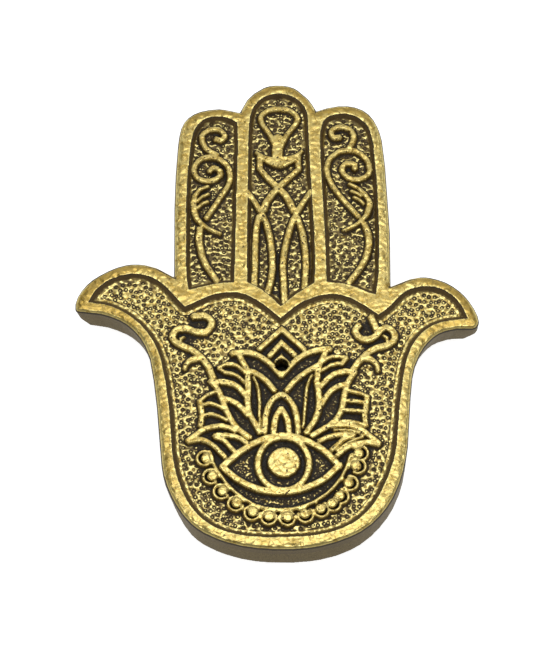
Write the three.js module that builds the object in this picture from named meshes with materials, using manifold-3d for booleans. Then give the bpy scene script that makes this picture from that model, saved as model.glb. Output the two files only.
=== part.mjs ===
// Hamsa incense holder: one cast plate in the shape of a hand with a thumb on each side, carved in low
// relief with an eye, a lotus and scrolls, and standing on four non-slip pads. A blind hole above the lotus
// takes one stick.
// Millimetres, +Z up, fingers towards +Y. The pads stand on Z = 0 and the hand is centred on the origin.

import * as THREE from 'three';
import { mergeVertices } from 'three/addons/utils/BufferGeometryUtils.js';
import Module from 'manifold-3d';

const wasm = await Module();
wasm.setup();

// The casting, with its length from the tip of the middle finger to the wrist
const handLength = 130;
const plateThickness = 8.4;
const edgeRadius = 0.7;
const edgeSteps = 2;
const reliefDepth = 1.2;
const wallRun = 1.1;

// The outer wall leans in towards the underside, by this much under the tips of the thumbs, and stands
// upright at the wrist
const thumbLean = 1.9;
const uprightBelow = -45;
const leansAbove = -20;

// The carving stands on the ground of the pockets, a little lower than the rim
const carvingDrop = 0.1;
const flankRun = 0.4;
const rootDepth = 0.5;
const tipShare = 0.6;

// Widths of the carved bands at their tops
const scrollWidth = 1.3;
const stemWidth = 1.5;
const leafWidth = 1.6;
const barbWidth = 0.8;
const loopWidth = 1.2;
const neckWidth = 2.6;
const shoulderWidth = 3.2;
const legWidth = 1.3;
const armWidth = 1.7;
const reedWidth = 1.4;
const hookWidth = 1.6;
const petalWidth = 1.4;
const veinWidth = 0.6;
const hatchWidth = 0.85;
const hatchFrameWidth = 1.2;
const chevronWidth = 1.35;
const smallChevronWidth = 0.8;
const lidWidth = 1.6;
const irisBandWidth = 1.35;
const beadLineWidth = 0.75;
const cupWidth = 0.5;

// Eye and beads
const irisRadiusX = 6.4;
const irisRadiusY = 7.2;
const pupilRadius = 3.95;
const beadRadius = 1.15;
const beadHeight = 0.9;
const cupRadius = 1.75;
const cupReach = THREE.MathUtils.degToRad(115);

// Stick hole
const holeDiameter = 3.4;
const holeDepth = 5;

// Pads
const padDiameter = 10;
const padThickness = 2;
const padSeatDepth = 0.6;
const padSeatClearance = 0.3;
const padEdge = 0.3;

// Faceting
const chordError = 0.1;
const samplesPerSpan = 8;
const arcSpans = 4;
const roundSides = 24;
const beadSides = 8;
const beadRings = 2;
const insetSlack = 0.01;
const leastStep = 0.25;
const weldGap = 1e-4;

const plateBottom = padThickness - padSeatDepth;
const plateTop = plateBottom + plateThickness;
const groundLevel = plateTop - reliefDepth;
const carvingTop = plateTop - carvingDrop;
const carvingRise = carvingTop - groundLevel;

// Outer edge of the hand, one run of the pencil from each notch to the next, clockwise from the left of the
// middle finger
const handRuns = [
  [[-10.2, 57], [-7.9, 61.4], [-4, 64.5], [0, 65.2], [3.9, 64.4], [7.5, 61.3], [9.7, 57.7]],
  [[9.7, 57.7], [12.8, 58.8], [16.4, 59.4], [20.2, 58.9], [23.3, 57], [25.6, 53.2], [27, 47.3],
    [28, 35.1], [28.8, 20.8], [29, 7.7]],
  [[29, 7.7], [31.2, 8.6], [34.6, 10], [38.4, 10.3], [43.4, 8.7], [47.5, 5.4], [50.3, 1.1],
    [51.2, -2.4], [49.7, -4.2], [45.5, -4.3], [41.1, -5.7], [37.8, -8.9], [35.5, -13.3], [34.3, -18],
    [33.6, -27.2], [33, -37.7], [31.1, -46.6], [27.5, -53.9], [21.3, -59.9], [11.5, -63.8], [1, -64.8],
    [-9.4, -63.7], [-18.3, -60.1], [-23.9, -54.2], [-27.5, -46.2], [-28.7, -37.7], [-29.7, -27.2],
    [-31.1, -17.2], [-32.4, -11.9], [-35.1, -7], [-39, -3.5], [-44, -1.5], [-48.5, -1], [-50.7, -0.6],
    [-51.1, 1.3], [-50.1, 4.4], [-47.4, 8], [-42.8, 11.1], [-38.7, 12.7], [-35.1, 13], [-31.5, 12.3],
    [-28.3, 10.8], [-26.4, 9.7]],
  [[-26.4, 9.7], [-26.5, 18.8], [-26.5, 35.1], [-26, 47.3], [-24.8, 53.4], [-21.6, 56.7], [-16.2, 58],
    [-12.3, 57.5], [-10.2, 57]],
];

// Upper edges of the sunk pockets
const leftFingerPocket = [
  [[-22.5, 5.4], [-23.2, 13], [-23.5, 32.3], [-23, 43.6], [-22.1, 50.6], [-19.8, 54.3], [-16, 55.5],
    [-12, 54.5], [-10.6, 51.4], [-10.7, 32.3], [-10.9, 7.9]],
  [[-10.9, 7.9], [-13.9, 7.7], [-17.9, 6.9], [-22.5, 5.4]],
];
const middleFingerPocket = [
  [[-7.6, 8], [-7.8, 22.7], [-7.8, 37], [-7.8, 51], [-7, 57.4], [-4.4, 61], [0, 62.5], [4.4, 61],
    [7.1, 57.4], [7.7, 51], [8.1, 41.7], [9.1, 27.5], [9.6, 15], [9.5, 8.1]],
  [[9.5, 8.1], [6.5, 6.1], [3.5, 3.7], [1, 1.3]],
  [[1, 1.3], [-1.5, 3.9], [-4.5, 6.4], [-7.6, 8]],
];
const rightFingerPocket = [
  [[12.6, 8.3], [12.3, 17.9], [11.5, 32.3], [10.8, 44.5], [10.8, 51.9], [12.4, 55.5], [16.8, 56.8],
    [21.1, 55.2], [23.8, 51], [25, 41.7], [25.9, 24.6], [25.8, 11.1], [25.2, 4.8]],
  [[25.2, 4.8], [22.9, 5.6], [19.9, 7], [16.9, 7.9], [12.6, 8.3]],
];
const palmPocket = [
  [[-23.3, 0.9], [-19.9, 2.7], [-15.9, 4.5], [-11.9, 5.1], [-8, 4.6], [-3.5, 1.9], [1, -2]],
  [[1, -2], [5, 1.7], [9, 3.9], [13.4, 5], [17.9, 4.3], [21.9, 2.1], [25.8, -0.7]],
  [[25.8, -0.7], [28.7, 1.8], [31.8, 5.3], [34.8, 7], [38.2, 7.5], [41.7, 6.8], [44.8, 4.7],
    [47.2, 1.5], [48.7, -1.6]],
  [[48.7, -1.6], [44, -2], [40, -3.2], [36.6, -5.7], [34, -9.6], [32.5, -14.4], [31.4, -22.1],
    [30.8, -28.3], [30.1, -37.7], [28.1, -45], [24.6, -52.3], [19.2, -57.7], [11.4, -60.7], [1, -61.6],
    [-8.4, -61.1], [-15.6, -58.6], [-20.8, -53.5], [-24, -46.6], [-25.7, -38.7], [-26.5, -28.3],
    [-27.7, -20], [-29, -13.9], [-31.1, -8.7], [-34.5, -4.1], [-38.9, -0.7], [-43.4, 1.2], [-48.4, 1.5]],
  [[-48.4, 1.5], [-46.5, 4.6], [-43.7, 7.5], [-39.9, 9.4], [-36, 10], [-32.2, 9.2], [-28.8, 7],
    [-26.1, 4], [-23.3, 0.9]],
];

// Middles of the carved bands, with their width at the start, halfway and at the end
const fingerCarving = [
  {
    widths: even(scrollWidth),
    lines: [
      [[-16.5, 49.1], [-14.8, 48.7], [-14, 50.1], [-15.5, 51.8], [-18.1, 51.6], [-19.9, 49.7],
        [-18.8, 46.3], [-15.7, 44.3]],
      [[-17.8, 39.6], [-16.7, 40.7], [-15.1, 39.9], [-15.2, 38], [-17.9, 36.8], [-20.9, 37.8],
        [-21.7, 40.7], [-19.6, 43.4], [-15.8, 43.5], [-12.8, 40.7], [-12.5, 36.5], [-15.1, 31.8],
        [-18.4, 26]],
      [[16, 50], [14.1, 50], [13.7, 51.9], [15.8, 53.1], [18.5, 52.2], [19.4, 49.7], [18.1, 46.7]],
      [[19.7, 40.7], [19.5, 42.2], [17.2, 42.3], [16.4, 40.4], [17.9, 38.3], [20.7, 37.8], [23.4, 39.7],
        [22.9, 43.3], [19.9, 46], [16, 46], [12.9, 43.1], [12.6, 38.9], [15.4, 33.7], [20.8, 27]],
    ],
  },
  {
    widths: [barbWidth, leafWidth, barbWidth],
    lines: [
      [[-18, 35.4], [-20.4, 34.1], [-21.7, 30.8], [-20.8, 26.1], [-17.9, 23.3], [-14.6, 21.8]],
      [[18.2, 36.6], [21.2, 34.8], [23.4, 31.5], [22.8, 27.8], [20.3, 25], [16.8, 23.1]],
    ],
  },
  {
    widths: even(barbWidth),
    lines: [
      [[-17.8, 33.1], [-19.5, 32.3], [-20.8, 30.8]],
      [[-17.9, 30.9], [-19.3, 30.4], [-20.7, 28.9]],
      [[18.7, 34.5], [20.2, 33.9], [21.4, 33]],
      [[19.4, 32.7], [20.7, 32.1], [22.1, 30.8]],
    ],
  },
  {
    widths: even(stemWidth),
    lines: [
      [[-19.8, 23.5], [-20, 19.3], [-18.8, 14.2], [-16.8, 10.7], [-15.1, 8.1]],
      [[22, 25.4], [23.4, 21], [22.6, 15.7], [20.4, 11.4], [18, 8.1]],
    ],
  },
  {
    widths: even(loopWidth),
    lines: [
      [[-0.7, 46.8], [-2.1, 50.2], [-4.2, 53.4], [-4.7, 55.8], [-2.8, 57.6], [0.2, 58.1]],
      [[0.5, 46.8], [2.1, 50.6], [4.3, 53.6], [4.7, 55.8], [2.9, 57.6], [-0.2, 58.1]],
    ],
  },
  {
    widths: even(neckWidth),
    lines: [
      [[-0.2, 50], [-0.3, 46.8], [-0.3, 43.6]],
    ],
  },
  {
    widths: [barbWidth, shoulderWidth, barbWidth],
    lines: [
      [[-5.8, 45.3], [-4, 43.8], [-1.9, 42.8], [0, 42.5], [2, 42.8], [4.2, 43.9], [6.1, 45.9]],
    ],
  },
  {
    widths: even(legWidth),
    lines: [
      [[-4.9, 44.1], [-4.7, 42.2], [-4.8, 40.4]],
      [[5.1, 44.3], [5, 42.4], [5.3, 40.6]],
    ],
  },
  {
    widths: [legWidth, armWidth, armWidth],
    lines: [
      [[-4.9, 40.7], [-2.7, 38], [-0.5, 35.7], [1.8, 33.2], [3.2, 30.7], [4.2, 28.3]],
      [[5.4, 40.7], [2.9, 38.2], [0.5, 35.7], [-1.6, 33.2], [-3.1, 30.8], [-3.8, 28.5]],
    ],
  },
  {
    widths: even(reedWidth),
    lines: [
      [[-8, 33.9], [-5.5, 30.2], [-3.4, 26.1], [-2.1, 21.7], [-1.4, 16.9], [-1.2, 12], [-1.6, 8.6],
        [-2.4, 5]],
      [[8.4, 34.2], [5.9, 30.1], [3.8, 25.6], [2.5, 20.8], [1.6, 15.9], [1.4, 11.5], [1.7, 6.6],
        [2, 2.2]],
      [[-4.7, 27.1], [-5.4, 24.1], [-5.7, 19.8], [-5.7, 14], [-5.8, 6.9]],
      [[4.9, 26.9], [6, 23.7], [6.8, 19.8], [7.3, 14], [7, 6.3]],
    ],
  },
];

const palmCarving = [
  {
    widths: even(hookWidth),
    lines: [
      [[-21.3, -1.6], [-18.2, -1.4], [-16.4, -3.2], [-17.6, -5.8], [-20.3, -5.9], [-22.6, -5],
        [-25.2, -5.4], [-26.2, -7.4], [-24.9, -9.3], [-21.9, -10.6], [-19.1, -12.7], [-17, -15.5],
        [-15.7, -18.8]],
      [[20.9, -3.4], [19.9, -5.1], [21, -7], [22.9, -7.5], [24.9, -6.6], [26.4, -4.7], [28.1, -4.1],
        [29.6, -5.5], [29.7, -7.5], [28.1, -8.9], [25.4, -9.7], [22.7, -11.5], [20.6, -13.9],
        [19.2, -16.1]],
      [[23.8, -0.9], [24.5, -2.8], [25.5, -5.3]],
    ],
  },
  {
    widths: [hookWidth, chevronWidth, barbWidth],
    lines: [
      [[-19.4, -13.2], [-21.4, -13.7], [-22.6, -14.9], [-23, -16.4]],
      [[22.4, -12.5], [24, -13], [25.3, -14.4], [25.7, -16.3]],
    ],
  },
  {
    widths: [veinWidth, barbWidth, veinWidth],
    lines: [
      [[-23.3, -7.4], [-24.1, -7.9], [-24.2, -8.8]],
      [[26.9, -6.3], [27.9, -7], [28, -8.6]],
    ],
  },
  {
    widths: even(petalWidth),
    lines: [
      [[-11.3, -11.8], [-8.9, -11.5], [-6.2, -11.6], [-3.5, -12.9], [-1.2, -14.8], [1.3, -17.8]],
      [[13.7, -10.2], [11.3, -10.4], [8.4, -11.2], [6, -12.6], [3.8, -14.7], [1.3, -17.8]],
      [[-9.5, -11.8], [-8.6, -13.8], [-7.3, -16.2], [-7, -20], [-7.1, -24.1], [-6.8, -27.4],
        [-5.6, -30.1], [-3.8, -33.5]],
      [[12.7, -10.5], [11.6, -13], [10.6, -15.7], [10.3, -19], [10.8, -22.6], [10.9, -26.2],
        [9.9, -29.7], [7.6, -33.5]],
      [[-7.1, -16.5], [-5.1, -17.1], [-3.3, -18.4], [-1.8, -19.9], [-0.2, -22]],
      [[10.5, -14.8], [8.5, -16], [6.4, -17.6], [4.4, -19.5], [2.6, -22]],
      [[1.3, -22.8], [-0.5, -24], [-1.8, -26.2], [-2.6, -29.3], [-2.7, -33.5]],
      [[1.3, -22.8], [3, -23.9], [4.5, -26.1], [5.4, -29.1], [5.7, -33.5]],
      [[1.4, -26.7], [0.4, -28.4], [-0.2, -30.5], [-0.5, -33.5]],
      [[1.4, -26.7], [2.4, -28.4], [3.2, -30.5], [3.5, -33.5]],
      [[-16.7, -19.6], [-14.2, -19.7], [-11.8, -19.9], [-9.6, -20.9], [-7.4, -23.5]],
      [[20, -16.4], [17.4, -16.4], [14.9, -17], [13, -18.4], [11.1, -20.8]],
      [[-16.1, -19.7], [-14.5, -21.8], [-13.4, -24.3], [-12.5, -27.1], [-11.1, -30.1], [-9.1, -32.7],
        [-6.2, -34.9]],
      [[19.7, -16.6], [18, -19.5], [17.2, -22.9], [16.7, -26.4], [15.1, -29.6], [12.4, -32], [9, -34.2]],
      [[-13.2, -24.2], [-11.2, -24.8], [-9.2, -26], [-6.8, -28.8]],
      [[17.5, -19.9], [15.4, -20.6], [13.4, -22.2], [11.4, -25.6]],
    ],
  },
  {
    widths: even(veinWidth),
    lines: [
      [[-5.7, -18.2], [-4.6, -20.5], [-4.1, -24.1], [-4, -27.7], [-3.9, -31.9]],
      [[9.1, -17.4], [7.9, -20.2], [7.5, -24.1], [7.3, -27.7], [6.9, -31.9]],
      [[14.6, -32.5], [18.4, -32.4], [20.7, -33.1], [22, -34.2]],
      [[22, -34.2], [19.8, -35], [17.4, -36.4], [15.3, -38.2]],
    ],
  },
  {
    widths: even(hatchWidth),
    lines: [
      [[-14.5, -15.8], [-12.6, -14.8], [-10.7, -14.8], [-9.1, -15.7], [-7.7, -17.3]],
      [[-14.5, -15.9], [-12.9, -17], [-10.9, -17.4], [-9.3, -18.3], [-7.7, -20]],
      [[-18.9, -25], [-17.5, -23.5], [-15.8, -22.7], [-14.4, -22.1]],
      [[-18.6, -26.1], [-16.8, -25.6], [-15.2, -25.9], [-13.1, -27]],
      [[-18.4, -29.1], [-16.3, -28.5], [-14.6, -28.9], [-12, -30.2]],
      [[17.9, -12.6], [15.6, -12.3], [13.5, -12.5], [11.7, -13.9]],
      [[16.9, -14.2], [15.1, -14.3], [13.3, -14.9], [11.1, -16.5]],
      [[17.5, -21.4], [19.8, -22], [21.6, -22.5], [22.9, -23.1]],
      [[17.3, -24.4], [19.8, -24.5], [22.6, -24.9]],
      [[16.8, -26.9], [19.8, -27.1], [22.4, -27.3]],
      [[15.3, -30.2], [17.8, -30.1], [20.4, -30.4], [22.4, -31.2]],
    ],
  },
  {
    widths: even(hatchFrameWidth),
    lines: [
      [[-19, -24.7], [-18.7, -26.7], [-18.3, -28.9], [-18.7, -32]],
      [[22.9, -22.9], [22.7, -25.2], [22.3, -28.3], [22.5, -31.4]],
      [[17.8, -12.6], [17.2, -13.5], [16.4, -14.4]],
    ],
  },
  {
    widths: [petalWidth, hatchFrameWidth, hatchFrameWidth],
    lines: [
      [[-21.9, -36], [-19.8, -34.1], [-17.4, -32.5], [-14.7, -31.8], [-12.3, -31.9], [-9.8, -33.1]],
      [[-21.9, -36], [-19.3, -35.4], [-17, -36], [-14.9, -37.5], [-12.3, -40.3]],
      [[26, -36.1], [23.8, -34.1], [21.2, -32.1], [17.7, -31], [13.9, -31.4]],
      [[26, -36.1], [22.9, -35.6], [20.1, -36.2], [17.6, -37.4], [15.3, -39.5]],
      [[-15.3, -34.5], [-12.7, -34.3], [-10.4, -34.4], [-8.6, -35.1], [-6.8, -36.6]],
      [[-15.1, -34.5], [-13, -35.4], [-11.7, -36.8], [-10.1, -38.7]],
      [[19.8, -33.8], [17.4, -33.6], [15.1, -33.8], [13.1, -34.4], [10.8, -35.6]],
      [[19.5, -33.9], [17.4, -34.7], [15.9, -36], [13.9, -38]],
    ],
  },
  {
    widths: even(lidWidth),
    lines: [
      [[-13.3, -43], [-10.9, -40.6], [-7.8, -37.9], [-4.1, -35.7], [-1.2, -34.6], [1.6, -34.2],
        [4.6, -34.4], [7.4, -35.3], [11.3, -37.4], [14.1, -39.9], [16.3, -42.5]],
      [[-13.3, -42.5], [-11.4, -44.4], [-8.3, -46.8], [-4.5, -48.5], [-1.3, -49.2], [2, -49.3],
        [5.1, -48.9], [8, -48], [11.6, -46.2], [14.4, -43.8], [16.3, -41.7]],
    ],
  },
];

const chevrons = [
  { width: chevronWidth, through: [[-4.4, -10.6], [1.3, -4.9], [7.2, -10.6]] },
  { width: chevronWidth, through: [[-1.8, -12.5], [1.3, -8.7], [4.8, -12.1]] },
  { width: smallChevronWidth, through: [[-0.2, -14], [1.3, -12.4], [3, -14.2]] },
];

const beadLine = [[-16.4, -38.7], [-15.4, -41.9], [-13.6, -45], [-11.3, -48.1], [-8.1, -51],
  [-4.4, -53.2], [0, -54.2], [4.1, -54], [8.3, -52.7], [12.2, -50.3], [15.3, -47.1], [17.5, -43.4],
  [18.9, -39.1]];
const beadPlaces = [[-17.5, -40.6], [-15.9, -45.5], [-13.2, -49.5], [-9.6, -52.7], [-5.5, -55.1],
  [-1.4, -56.2], [3.2, -56.4], [7.7, -55.5], [11.6, -54], [14.5, -52.4], [16.4, -50.4], [18.7, -46.8],
  [20.6, -42.2], [21.2, -38.7]];
const irisCentre = [2.1, -41.7];
const pupilCentre = [2.2, -41.4];
const holeCentre = [1.4, -14.9];

const padPlaces = {
  foot_pad_left_finger: [-17, 36],
  foot_pad_right_finger: [18, 36],
  foot_pad_left_palm: [-17, -38],
  foot_pad_right_palm: [20, -38],
};

// Drawing helpers

function vectors(pairs) {
  return pairs.map(([x, y]) => new THREE.Vector2(x, y));
}

const drawingSize = new THREE.Box2().setFromPoints(vectors(handRuns.flat())).getSize(new THREE.Vector2());
const drawingScale = handLength / drawingSize.y;

function drawn(points) {
  return vectors(points).map((point) => point.multiplyScalar(drawingScale));
}

function spot(point) {
  return drawn([point])[0];
}

function distanceToEdge(point, start, end) {
  const along = end.clone().sub(start);
  const share = point.clone().sub(start).dot(along) / along.lengthSq();
  return point.distanceTo(start.clone().addScaledVector(along, THREE.MathUtils.clamp(share, 0, 1)));
}

// As few points along an open curve as keep every chord within chordError of it.
function flatten(curve, spans) {
  const fine = curve.getPoints(spans * samplesPerSpan);
  function thin(start, end) {
    let worst = start;
    let stray = chordError;
    for (let index = start + 1; index < end; index += 1) {
      const gap = distanceToEdge(fine[index], fine[start], fine[end]);
      if (gap > stray) {
        worst = index;
        stray = gap;
      }
    }
    return worst === start ? [fine[end]] : [...thin(start, worst), ...thin(worst, end)];
  }
  return [fine[0], ...thin(0, fine.length - 1)];
}

function smooth(points) {
  return flatten(new THREE.SplineCurve(drawn(points)), points.length - 1);
}

// A closed outline from runs that meet in corners, anticlockwise.
function closedOutline(runs) {
  const points = runs.flatMap((run) => smooth(run).slice(1));
  return THREE.ShapeUtils.isClockWise(points) ? points.reverse() : points;
}

// Unit vector to the left of the way from start to end.
function leftOf(start, end) {
  const along = end.clone().sub(start).normalize();
  return new THREE.Vector2(-along.y, along.x);
}

// The shift that carries a corner one unit to the left of both edges that meet in it.
function mitre(before, corner, after) {
  const sum = leftOf(before, corner).add(leftOf(corner, after));
  return sum.multiplyScalar(2 / sum.lengthSq());
}

// An anticlockwise outline moved inwards, less the points that crowd or come too close to another edge.
function inset(outline, distance) {
  const next = (index) => outline[(index + 1) % outline.length];
  const moved = outline.map((corner, index) => (
    corner.clone().addScaledVector(mitre(outline.at(index - 1), corner, next(index)), distance)
  ));
  const clear = moved.filter((point) => outline.every((start, index) => (
    distanceToEdge(point, start, next(index)) > distance - insetSlack
  )));
  return clear.filter((point, index) => point.distanceTo(clear.at(index - 1)) > leastStep);
}

// The point a distance past the end of an edge.
function beyond(before, end, distance) {
  return end.clone().add(end.clone().sub(before).setLength(distance));
}

// The shift to the left of an open line at one of its points.
function sideAt(line, index) {
  if (index === 0) {
    return leftOf(line[0], line[1]);
  }
  if (index === line.length - 1) {
    return leftOf(line[index - 1], line[index]);
  }
  return mitre(line[index - 1], line[index], line[index + 1]);
}

function even(width) {
  return [width, width, width];
}

// The outline of a band that follows a line, with its width at the start, halfway and at the end.
function ribbon(line, [startWidth, halfwayWidth, endWidth]) {
  const half = (line.length - 1) / 2;
  const left = [];
  const right = [];
  line.forEach((point, index) => {
    const width = index < half
      ? THREE.MathUtils.lerp(startWidth, halfwayWidth, index / half)
      : THREE.MathUtils.lerp(halfwayWidth, endWidth, index / half - 1);
    const side = sideAt(line, index);
    left.push(point.clone().addScaledVector(side, width / 2));
    right.unshift(point.clone().addScaledVector(side, -width / 2));
  });
  const startTip = beyond(line[1], line[0], (tipShare * startWidth) / 2);
  const endTip = beyond(line.at(-2), line.at(-1), (tipShare * endWidth) / 2);
  return [startTip, ...left, endTip, ...right];
}

// Solid helpers

function solidOf(geometry) {
  geometry.deleteAttribute('normal');
  geometry.deleteAttribute('uv');
  const welded = mergeVertices(geometry, weldGap);
  return new wasm.Manifold(new wasm.Mesh({
    numProp: 3,
    vertProperties: Float32Array.from(welded.attributes.position.array),
    triVerts: Uint32Array.from(welded.index.array),
  }));
}

function geometryOf(solid) {
  const mesh = solid.getMesh();
  const geometry = new THREE.BufferGeometry();
  geometry.setAttribute('position', new THREE.BufferAttribute(mesh.vertProperties, 3));
  geometry.setIndex(new THREE.BufferAttribute(mesh.triVerts, 1));
  geometry.computeVertexNormals();
  return geometry;
}

// An outline with sides that lean out by run, over a height of rise, at both ends of a straight depth.
function leaningBlock(outline, { depth, rise, run, steps = 1 }) {
  return new THREE.ExtrudeGeometry(new THREE.Shape(outline), {
    depth,
    bevelThickness: rise,
    bevelSize: run,
    bevelSegments: steps,
  });
}

// Upright round piece from a profile of radius and height pairs that starts and ends on the axis.
function turned(profile, sides, place) {
  const geometry = new THREE.LatheGeometry(vectors(profile), sides);
  geometry.rotateX(Math.PI / 2);
  geometry.translate(place.x, place.y, 0);
  return geometry;
}

// Pieces of the plate

function blankPlate(handOutline) {
  const face = inset(handOutline, edgeRadius);
  const edge = { rise: edgeRadius, run: edgeRadius, steps: edgeSteps };
  const block = leaningBlock(face, { depth: plateThickness, ...edge });
  block.translate(0, 0, plateTop - plateThickness - edgeRadius);
  const box = new THREE.Box2().setFromPoints(handOutline);
  const size = box.getSize(new THREE.Vector2());
  const centre = box.getCenter(new THREE.Vector2());
  const below = new THREE.BoxGeometry(2 * size.x, 2 * size.y, plateThickness);
  below.translate(centre.x, centre.y, plateBottom - plateThickness / 2);
  const upright = solidOf(block).subtract(solidOf(below));
  const lean = (2 * thumbLean) / size.x;
  return upright.warp((point) => {
    if (point[2] < plateBottom + weldGap) {
      const share = THREE.MathUtils.smoothstep(point[1], uprightBelow, leansAbove);
      point[0] += (centre.x - point[0]) * lean * share;
    }
  });
}

function pocket(runs) {
  const ground = inset(closedOutline(runs), wallRun);
  const block = leaningBlock(ground, { depth: reliefDepth, rise: reliefDepth, run: wallRun });
  block.translate(0, 0, groundLevel + reliefDepth);
  return solidOf(block);
}

function raised(outline) {
  const block = leaningBlock(outline, { depth: rootDepth, rise: carvingRise, run: flankRun });
  block.translate(0, 0, carvingTop - carvingRise - rootDepth);
  return solidOf(block);
}

function carvedBands(groups) {
  return groups.flatMap(({ widths, lines }) => lines.map((line) => raised(ribbon(smooth(line), widths))));
}

function carvedChevrons() {
  return chevrons.map(({ width, through }) => raised(ribbon(drawn(through), even(width))));
}

function halfRounds({ x, y }, radiusX, radiusY) {
  return [0, Math.PI].map((start) => (
    flatten(new THREE.EllipseCurve(x, y, radiusX, radiusY, start, start + Math.PI), arcSpans)
  ));
}

function eye() {
  const iris = halfRounds(spot(irisCentre), irisRadiusX, irisRadiusY);
  const pupil = halfRounds(spot(pupilCentre), pupilRadius, pupilRadius).flatMap((half) => half.slice(1));
  const ring = iris.map((half) => raised(ribbon(half, even(irisBandWidth))));
  return [...ring, raised(pupil)];
}

// A domed bead in a cup that opens towards the eye.
function bead(place, outward) {
  const dome = [[0, groundLevel - rootDepth], [beadRadius, groundLevel - rootDepth]];
  for (let ring = 0; ring <= beadRings; ring += 1) {
    const angle = (ring / beadRings) * (Math.PI / 2);
    const radius = ring === beadRings ? 0 : beadRadius * Math.cos(angle);
    dome.push([radius, groundLevel + beadHeight * Math.sin(angle)]);
  }
  const facing = outward.angle();
  const { x, y } = place;
  const arc = new THREE.EllipseCurve(x, y, cupRadius, cupRadius, facing - cupReach, facing + cupReach);
  return [
    solidOf(turned(dome, beadSides, place)),
    raised(ribbon(flatten(arc, arcSpans), even(cupWidth))),
  ];
}

function beadRow() {
  const line = raised(ribbon(smooth(beadLine), even(beadLineWidth)));
  const eyeCentre = spot(pupilCentre);
  const beads = drawn(beadPlaces).flatMap((place) => bead(place, place.clone().sub(eyeCentre)));
  return [line, ...beads];
}

// A plain round cutter between two heights.
function drill(diameter, low, high, place) {
  const radius = diameter / 2;
  return solidOf(turned([[0, low], [radius, low], [radius, high], [0, high]], roundSides, spot(place)));
}

function stickHole() {
  return drill(holeDiameter, carvingTop - holeDepth, plateTop + holeDepth, holeCentre);
}

function padSeat(place) {
  return drill(padDiameter + 2 * padSeatClearance, plateBottom - padThickness, padThickness, place);
}

function plateSolid() {
  const pockets = [leftFingerPocket, middleFingerPocket, rightFingerPocket, palmPocket].map(pocket);
  const carving = [
    ...carvedBands(fingerCarving),
    ...carvedBands(palmCarving),
    ...carvedChevrons(),
    ...eye(),
    ...beadRow(),
  ];
  const cuts = [stickHole(), ...Object.values(padPlaces).map(padSeat)];
  let plate = blankPlate(closedOutline(handRuns));
  pockets.forEach((cut) => {
    plate = plate.subtract(cut);
  });
  carving.forEach((piece) => {
    plate = plate.add(piece);
  });
  cuts.forEach((cut) => {
    plate = plate.subtract(cut);
  });
  return plate;
}

function padGeometry(place) {
  const radius = padDiameter / 2;
  return turned([
    [0, 0],
    [radius - padEdge, 0],
    [radius, padEdge],
    [radius, padThickness],
    [0, padThickness],
  ], roundSides, spot(place));
}

const bronzedResin = new THREE.MeshStandardMaterial({ color: 0xb4934c, roughness: 0.5, metalness: 0.6 });
const blackFoam = new THREE.MeshStandardMaterial({ color: 0x1d1d1f, roughness: 0.95, metalness: 0 });

const handPlate = new THREE.Mesh(geometryOf(plateSolid()), bronzedResin);
handPlate.name = 'hand_plate';

const middle = new THREE.Box3().setFromObject(handPlate).getCenter(new THREE.Vector3());
const holder = new THREE.Group();
holder.position.set(-middle.x, -middle.y, 0);
holder.add(handPlate);

Object.entries(padPlaces).forEach(([name, place]) => {
  const pad = new THREE.Mesh(padGeometry(place), blackFoam.clone());
  pad.name = name;
  holder.add(pad);
});

export default holder;
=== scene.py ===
"""Dresses the cast hamsa incense holder: punched ground, soft carving, gilding, foam pads and a studio."""

import math

import bpy
import numpy as np
from mathutils import Matrix, Vector


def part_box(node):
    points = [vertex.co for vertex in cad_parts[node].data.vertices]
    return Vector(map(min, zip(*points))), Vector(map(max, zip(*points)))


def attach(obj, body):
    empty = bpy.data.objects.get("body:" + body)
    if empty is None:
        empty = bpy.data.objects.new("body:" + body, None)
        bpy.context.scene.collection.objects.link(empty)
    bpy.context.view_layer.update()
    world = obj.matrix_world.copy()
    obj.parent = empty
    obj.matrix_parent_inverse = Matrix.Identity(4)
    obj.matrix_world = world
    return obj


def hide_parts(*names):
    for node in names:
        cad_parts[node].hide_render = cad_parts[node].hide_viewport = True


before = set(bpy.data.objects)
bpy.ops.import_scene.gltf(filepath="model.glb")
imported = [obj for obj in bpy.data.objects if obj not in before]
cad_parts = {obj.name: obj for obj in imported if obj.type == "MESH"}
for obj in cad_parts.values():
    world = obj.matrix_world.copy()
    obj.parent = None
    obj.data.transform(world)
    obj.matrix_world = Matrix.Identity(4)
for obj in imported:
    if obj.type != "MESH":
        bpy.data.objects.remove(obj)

bl_info = {
    "name": "Hamsa incense holder",
    "version": (1, 0, 0),
    "blender": (4, 5, 0),
    "location": "3D View > Sidebar > Holder",
    "description": "Gives the cast hand its carving and gilding and its pads their foam, and lights them",
    "category": "Object",
}

MM = 0.001
PLATE = "hand_plate"
PADS = [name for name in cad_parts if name.startswith("foot_pad")]
PHOTO_HEIGHT = 650
PHOTO_FOCAL = 3960

# The seed of each grain of the casting, which keeps it the same on every run, and the lengths of its waves
# across and along the hand, in mm
GRAINS = {
    "leaf_fold": (11, 4.8, 3.8),
    "leaf_crease": (12, 4.0, 4.0),
    "leaf_dent": (17, 4.2, 3.2),
    "pits": (19, 1.4, 1.4),
    "palm_ground": (13, 1.9, 1.7),
    "finger_ground": (19, 2.4, 1.5),
    "recess_gold": (23, 1.1, 0.9),
    "wall_stain": (24, 5.0, 5.0),
}
PUNCH_SEED = 7
PUNCH_TRIES = 60000

# What tells parts of the casting apart: how far up a flat face points, and in mm how deep the relief goes,
# how much deeper the floor of the stick hole lies, and how much flats at one height differ
FLAT = 0.999
RELIEF_LIMIT, HOLE_LIMIT, SAME_HEIGHT = 2, 1, 0.02

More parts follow.
